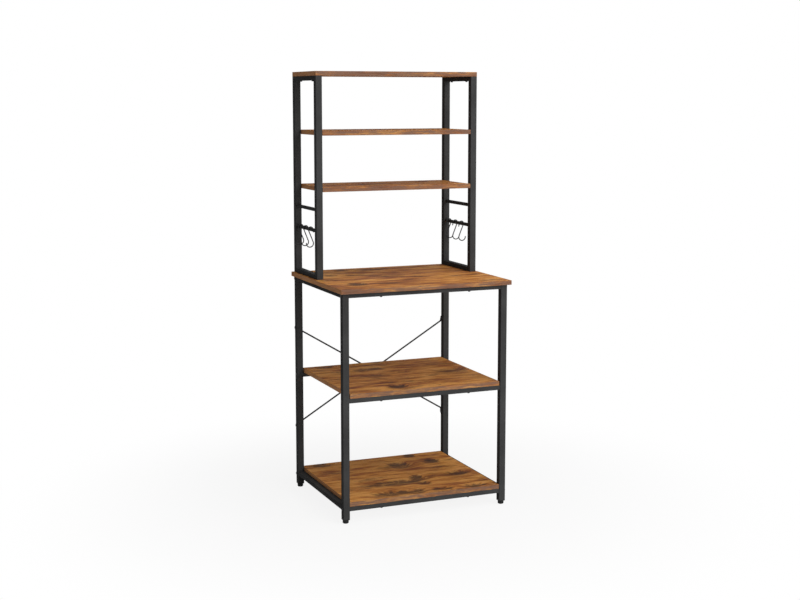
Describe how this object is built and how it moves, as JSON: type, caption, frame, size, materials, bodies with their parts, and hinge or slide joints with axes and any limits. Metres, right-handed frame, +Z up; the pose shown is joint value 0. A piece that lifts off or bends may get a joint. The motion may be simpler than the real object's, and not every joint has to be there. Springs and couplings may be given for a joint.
{
  "type": "kitchen shelving unit",
  "caption": "Free-standing kitchen shelving unit: black square-tube stand with wood-look worktop and shelves, shallow hutch on top, crossed back brace, levelling feet and swinging S-hooks.",
  "frame": {"origin": "on the floor, under the centre of the worktop", "axes": "+X to the right seen from the front, +Y to the back, +Z up"},
  "size_m": [0.6, 0.5, 1.45],
  "materials": {
    "board": "rustic brown wood-look laminate, satin",
    "black_tube": "fine matt black powder coat",
    "hook_wire": "black coated wire",
    "black_fasteners": "black oxide",
    "zinc_steel": "zinc plated",
    "black_plastic": "moulded, matt"
  },
  "bodies": {
    "unit": {"front_left_leg": "black_tube", "rear_left_leg": "black_tube", "front_right_leg": "black_tube", "rear_right_leg": "black_tube", "left_top_side_rail": "black_tube", "left_bottom_side_rail": "black_tube", "right_top_side_rail": "black_tube", "right_bottom_side_rail": "black_tube", "worktop_front_rail": "black_tube", "worktop_rear_rail": "black_tube", "middle_front_rail": "black_tube", "middle_rear_rail": "black_tube", "bottom_front_rail": "black_tube", "bottom_rear_rail": "black_tube", "rail_end_nuts": "zinc_steel", "frame_bolts": "black_fasteners", "worktop": "board", "middle_shelf": "board", "bottom_shelf": "board", "shelf_screws": "black_fasteners", "falling_brace_rod": "black_tube", "rising_brace_rod": "black_tube", "brace_bolts": "black_fasteners", "hutch_front_left_upright": "black_tube", "hutch_rear_left_upright": "black_tube", "hutch_left_bottom_rail": "black_tube", "hutch_left_top_rail": "black_tube", "left_lower_hook_bar": "black_tube", "left_upper_hook_bar": "black_tube", "hutch_front_right_upright": "black_tube", "hutch_rear_right_upright": "black_tube", "hutch_right_bottom_rail": "black_tube", "hutch_right_top_rail": "black_tube", "right_lower_hook_bar": "black_tube", "right_upper_hook_bar": "black_tube", "hutch_lower_shelf": "board", "hutch_upper_shelf": "board", "hutch_shelf_bolts": "zinc_steel", "hutch_shelf_inserts": "zinc_steel", "hutch_bolt_caps": "black_plastic", "hutch_top_shelf": "board", "top_shelf_screws": "black_fasteners", "hutch_base_bolts": "zinc_steel", "hutch_base_nuts": "zinc_steel", "foot_inserts": "black_plastic"},
    "front_left_foot_pad": {"front_left_foot_pad": "black_plastic"},
    "front_left_foot_stud": {"front_left_foot_stud": "zinc_steel"},
    "rear_left_foot_pad": {"rear_left_foot_pad": "black_plastic"},
    "rear_left_foot_stud": {"rear_left_foot_stud": "zinc_steel"},
    "front_right_foot_pad": {"front_right_foot_pad": "black_plastic"},
    "front_right_foot_stud": {"front_right_foot_stud": "zinc_steel"},
    "rear_right_foot_pad": {"rear_right_foot_pad": "black_plastic"},
    "rear_right_foot_stud": {"rear_right_foot_stud": "zinc_steel"},
    "left_front_hook": {"left_front_hook": "hook_wire"},
    "left_middle_hook": {"left_middle_hook": "hook_wire"},
    "left_rear_hook": {"left_rear_hook": "hook_wire"},
    "right_front_hook": {"right_front_hook": "hook_wire"},
    "right_middle_hook": {"right_middle_hook": "hook_wire"},
    "right_rear_hook": {"right_rear_hook": "hook_wire"}
  },
  "joints": [
    {"name": "front_left_foot_height", "type": "slide", "parent": "unit", "child": "front_left_foot_pad", "axis": [0, 0, 1], "range_m": [-0.01, 0]},
    {"name": "front_left_stud_turn", "type": "hinge", "parent": "front_left_foot_pad", "child": "front_left_foot_stud", "pos_m": [-0.28, -0.224, 0], "axis": [0, 0, 1], "range_deg": [-3600, 0]},
    {"name": "rear_left_foot_height", "type": "slide", "parent": "unit", "child": "rear_left_foot_pad", "axis": [0, 0, 1], "range_m": [-0.01, 0]},
    {"name": "rear_left_stud_turn", "type": "hinge", "parent": "rear_left_foot_pad", "child": "rear_left_foot_stud", "pos_m": [-0.28, 0.234, 0], "axis": [0, 0, 1], "range_deg": [-3600, 0]},
    {"name": "front_right_foot_height", "type": "slide", "parent": "unit", "child": "front_right_foot_pad", "axis": [0, 0, 1], "range_m": [-0.01, 0]},
    {"name": "front_right_stud_turn", "type": "hinge", "parent": "front_right_foot_pad", "child": "front_right_foot_stud", "pos_m": [0.28, -0.224, 0], "axis": [0, 0, 1], "range_deg": [-3600, 0]},
    {"name": "rear_right_foot_height", "type": "slide", "parent": "unit", "child": "rear_right_foot_pad", "axis": [0, 0, 1], "range_m": [-0.01, 0]},
    {"name": "rear_right_stud_turn", "type": "hinge", "parent": "rear_right_foot_pad", "child": "rear_right_foot_stud", "pos_m": [0.28, 0.234, 0], "axis": [0, 0, 1], "range_deg": [-3600, 0]},
    {"name": "left_front_hook_swing", "type": "hinge", "parent": "unit", "child": "left_front_hook", "pos_m": [-0.28, 0.099, 0.925], "axis": [0, 1, 0], "range_deg": [-70, 70]},
    {"name": "left_middle_hook_swing", "type": "hinge", "parent": "unit", "child": "left_middle_hook", "pos_m": [-0.28, 0.15, 0.925], "axis": [0, 1, 0], "range_deg": [-70, 70]},
    {"name": "left_rear_hook_swing", "type": "hinge", "parent": "unit", "child": "left_rear_hook", "pos_m": [-0.28, 0.201, 0.925], "axis": [0, 1, 0], "range_deg": [-70, 70]},
    {"name": "right_front_hook_swing", "type": "hinge", "parent": "unit", "child": "right_front_hook", "pos_m": [0.28, 0.099, 0.925], "axis": [0, 1, 0], "range_deg": [-70, 70]},
    {"name": "right_middle_hook_swing", "type": "hinge", "parent": "unit", "child": "right_middle_hook", "pos_m": [0.28, 0.15, 0.925], "axis": [0, 1, 0], "range_deg": [-70, 70]},
    {"name": "right_rear_hook_swing", "type": "hinge", "parent": "unit", "child": "right_rear_hook", "pos_m": [0.28, 0.201, 0.925], "axis": [0, 1, 0], "range_deg": [-70, 70]}
  ],
  "couplings": [
    {"joint": "front_left_stud_turn", "follows": "front_left_foot_height", "rad_per_m": 6283.2},
    {"joint": "rear_left_stud_turn", "follows": "rear_left_foot_height", "rad_per_m": 6283.2},
    {"joint": "front_right_stud_turn", "follows": "front_right_foot_height", "rad_per_m": 6283.2},
    {"joint": "rear_right_stud_turn", "follows": "rear_right_foot_height", "rad_per_m": 6283.2}
  ]
}
